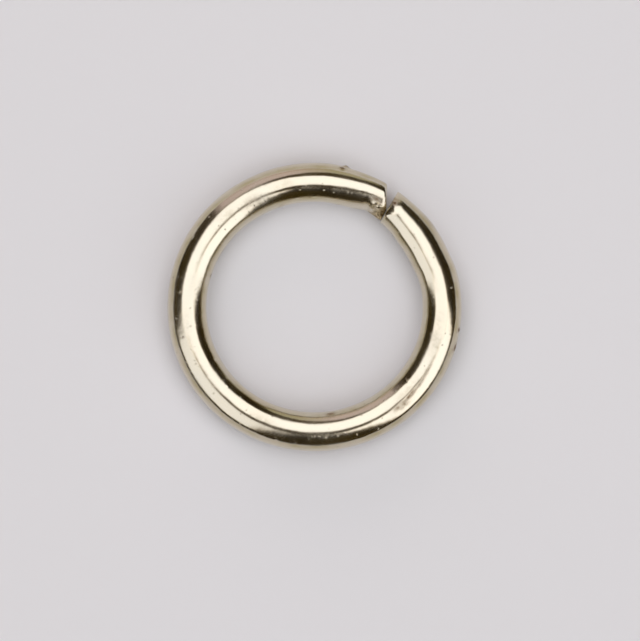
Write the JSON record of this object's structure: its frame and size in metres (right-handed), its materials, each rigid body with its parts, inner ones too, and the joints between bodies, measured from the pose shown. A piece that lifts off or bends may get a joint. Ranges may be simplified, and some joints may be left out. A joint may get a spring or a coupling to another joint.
{
  "type": "metal o-ring",
  "caption": "Open o-ring bent from round nickel-plated steel wire, its chopped, unwelded ends almost meeting at a small notch, for joining straps, cords or chain.",
  "frame": {"origin": "centre of the eye, on the wire's middle plane", "axes": "+Z along the ring's axis, up as it lies flat; +X across the eye's wider way; the gap lies between +X and +Y"},
  "size_m": [0.0262, 0.0256, 0.0034],
  "materials": {
    "nickel_plate": "polished"
  },
  "bodies": {
    "root": {"wire_ring": "nickel_plate"}
  },
  "joints": []
}
